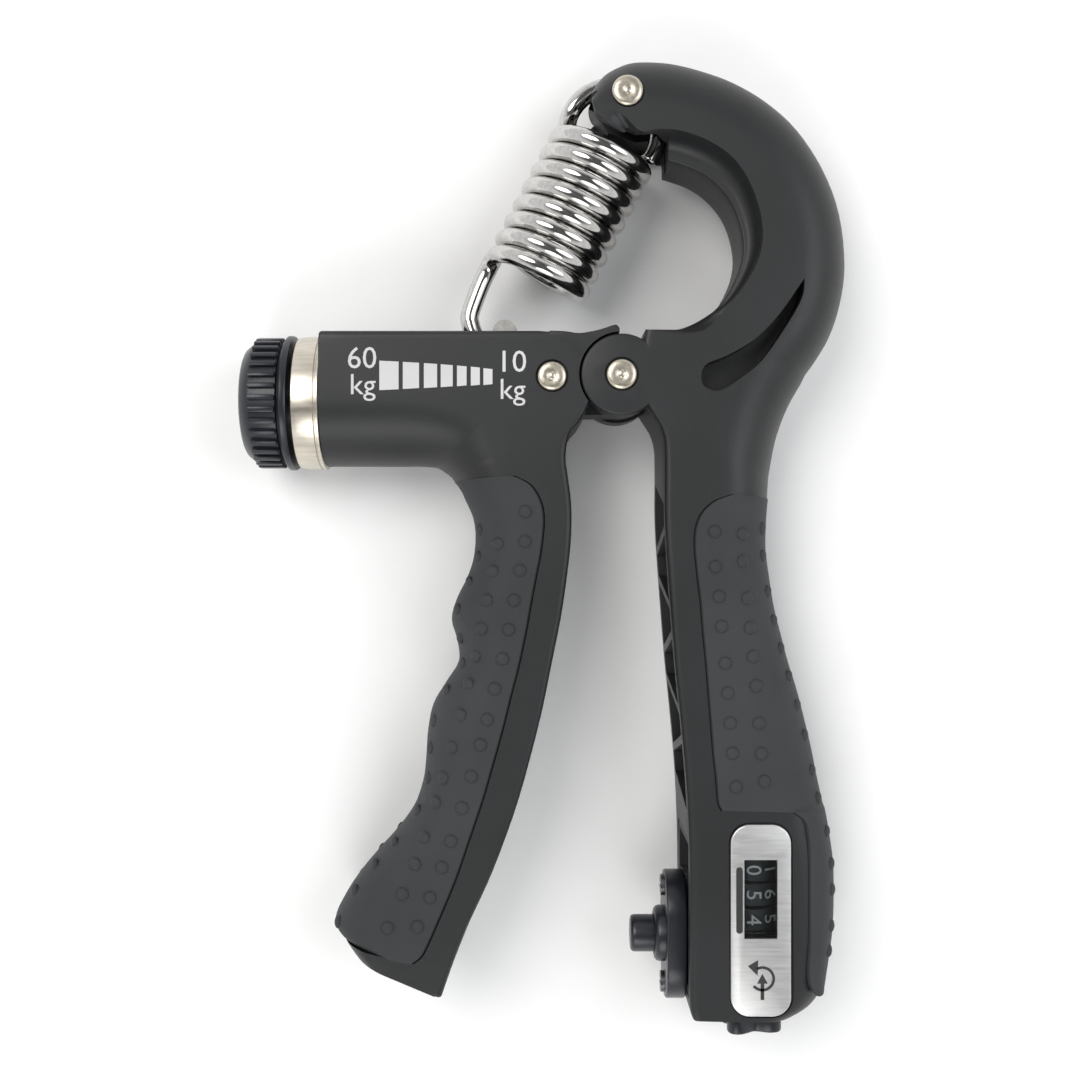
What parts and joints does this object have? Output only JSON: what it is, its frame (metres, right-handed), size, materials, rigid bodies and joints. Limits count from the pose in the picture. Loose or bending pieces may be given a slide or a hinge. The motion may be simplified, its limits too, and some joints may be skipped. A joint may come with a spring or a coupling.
{
  "type": "adjustable spring hand grip with squeeze counter",
  "caption": "Two-handled spring hand grip with a screw-adjusted tension spring, hinged lever, moulded grips and a plunger-driven squeeze counter with reset knob.",
  "frame": {"origin": "middle of the footprint on the flat back that the grip lies on", "axes": "+X along the screw arm from the knob to the hinge, +Y up the handles towards the spring, +Z out of the face with the scale and the counter"},
  "size_m": [0.104, 0.1657, 0.0235],
  "materials": {
    "moulded_black": "fine moulded texture, satin black",
    "grip_rubber": "soft matt over-moulded grip, dark grey",
    "knob_plastic": "semi-gloss blue-black",
    "satin_champagne": "satin champagne plated steel",
    "rivet_nickel": "turned, slightly warm nickel",
    "zinc_steel": "zinc plated, satin",
    "spring_chrome": "bright plated wire",
    "bearing_bronze": "sintered bronze, matt",
    "dark_steel": "blackened steel",
    "plate_silver": "satin anodised",
    "clear_window": "clear moulded window",
    "wheel_dark": "dark number wheel with pale numerals",
    "gear_ivory": "natural moulded gear plastic"
  },
  "bodies": {
    "frame": {"left_frame": "moulded_black", "left_grip": "grip_rubber", "knob_ferrule": "satin_champagne", "screw_bearing": "bearing_bronze", "bearing_rivet": "rivet_nickel"},
    "adjuster": {"tension_knob": "knob_plastic", "knob_cap": "knob_plastic", "lead_screw": "zinc_steel", "thrust_washer": "zinc_steel", "retaining_ring": "dark_steel"},
    "carriage": {"carriage_nut": "zinc_steel", "hook_pin": "zinc_steel"},
    "spring_lower": {"spring_lower": "spring_chrome"},
    "spring_upper": {"spring_upper": "spring_chrome"},
    "hinge_pin": {"hinge_pin": "rivet_nickel", "hinge_washers": "zinc_steel"},
    "lever": {"right_lever": "moulded_black", "right_grip": "grip_rubber", "spring_pin": "rivet_nickel", "counter_case": "knob_plastic", "counter_faceplate": "plate_silver", "counter_window": "clear_window", "wheel_shaft": "zinc_steel", "pinion_shaft": "zinc_steel", "plunger_flange": "knob_plastic", "flange_screws": "dark_steel", "plunger_spring": "spring_chrome", "reset_spring": "spring_chrome"},
    "plunger": {"plunger": "knob_plastic", "ratchet_pawl": "zinc_steel"},
    "wheel_units": {"number_wheel_units": "wheel_dark"},
    "wheel_tens": {"number_wheel_tens": "wheel_dark"},
    "wheel_hundreds": {"number_wheel_hundreds": "wheel_dark"},
    "pinions": {"transfer_pinions": "gear_ivory"},
    "reset_push": {"reset_shaft": "zinc_steel"},
    "reset_turn": {"reset_knob": "knob_plastic"}
  },
  "joints": [
    {"name": "knob_turn", "type": "hinge", "parent": "frame", "child": "adjuster", "pos_m": [-0.02705, 0.02425, 0.01175], "axis": [1, 0, 0], "range_deg": [0, 3240]},
    {"name": "carriage_slide", "type": "slide", "parent": "frame", "child": "carriage", "axis": [-1, 0, 0], "range_m": [0, 0.018]},
    {"name": "spring_swing", "type": "hinge", "parent": "carriage", "child": "spring_lower", "pos_m": [-0.00665, 0.03595, 0.01175], "axis": [0, 0, 1], "range_deg": [-14.9, 0]},
    {"name": "spring_stretch", "type": "slide", "parent": "spring_lower", "child": "spring_upper", "axis": [0.4643, 0.8857, 0], "range_m": [0, 0.009], "deforming": ["spring_lower", "spring_upper"]},
    {"name": "lever_open", "type": "hinge", "parent": "hinge_pin", "child": "lever", "pos_m": [0.01295, 0.02805, 0.01175], "axis": [0, 0, 1], "range_deg": [0, 21.5]},
    {"name": "squeeze", "type": "hinge", "parent": "hinge_pin", "child": "frame", "pos_m": [0.01295, 0.02805, 0.01175], "axis": [0, 0, 1], "range_deg": [0, 19], "stiffness_Nm_per_rad": 18},
    {"name": "plunger_press", "type": "slide", "parent": "lever", "child": "plunger", "axis": [1, 0, 0], "range_m": [0, 0.0042], "deforming": ["plunger_spring"]},
    {"name": "units_turn", "type": "hinge", "parent": "lever", "child": "wheel_units", "pos_m": [0.03515, -0.06195, 0.0155], "axis": [0, 1, 0], "continuous": true},
    {"name": "tens_turn", "type": "hinge", "parent": "lever", "child": "wheel_tens", "pos_m": [0.03515, -0.05895, 0.0155], "axis": [0, 1, 0], "continuous": true},
    {"name": "hundreds_turn", "type": "hinge", "parent": "lever", "child": "wheel_hundreds", "pos_m": [0.03515, -0.05495, 0.0155], "axis": [0, 1, 0], "continuous": true},
    {"name": "pinion_turn", "type": "hinge", "parent": "lever", "child": "pinions", "pos_m": [0.03515, -0.05995, 0.0081], "axis": [0, 1, 0], "continuous": true},
    {"name": "reset_push", "type": "slide", "parent": "lever", "child": "reset_push", "axis": [0, 1, 0], "range_m": [0, 0.0014], "stiffness_N_per_m": 400, "deforming": ["reset_spring"]},
    {"name": "reset_turn", "type": "hinge", "parent": "reset_push", "child": "reset_turn", "pos_m": [0.03515, -0.08195, 0.0155], "axis": [0, 1, 0], "continuous": true}
  ],
  "couplings": [
    {"joint": "knob_turn", "follows": "lever_open", "ratio": 150.7},
    {"joint": "carriage_slide", "follows": "lever_open", "m_per_rad": 0.047969},
    {"joint": "spring_swing", "follows": "squeeze", "ratio": -0.78421},
    {"joint": "spring_stretch", "follows": "squeeze", "m_per_rad": 0.02714},
    {"joint": "plunger_press", "follows": "squeeze", "m_per_rad": 0.012665},
    {"joint": "tens_turn", "follows": "units_turn", "ratio": 0.1},
    {"joint": "hundreds_turn", "follows": "units_turn", "ratio": 0.01},
    {"joint": "pinion_turn", "follows": "units_turn", "ratio": -0.25}
  ]
}
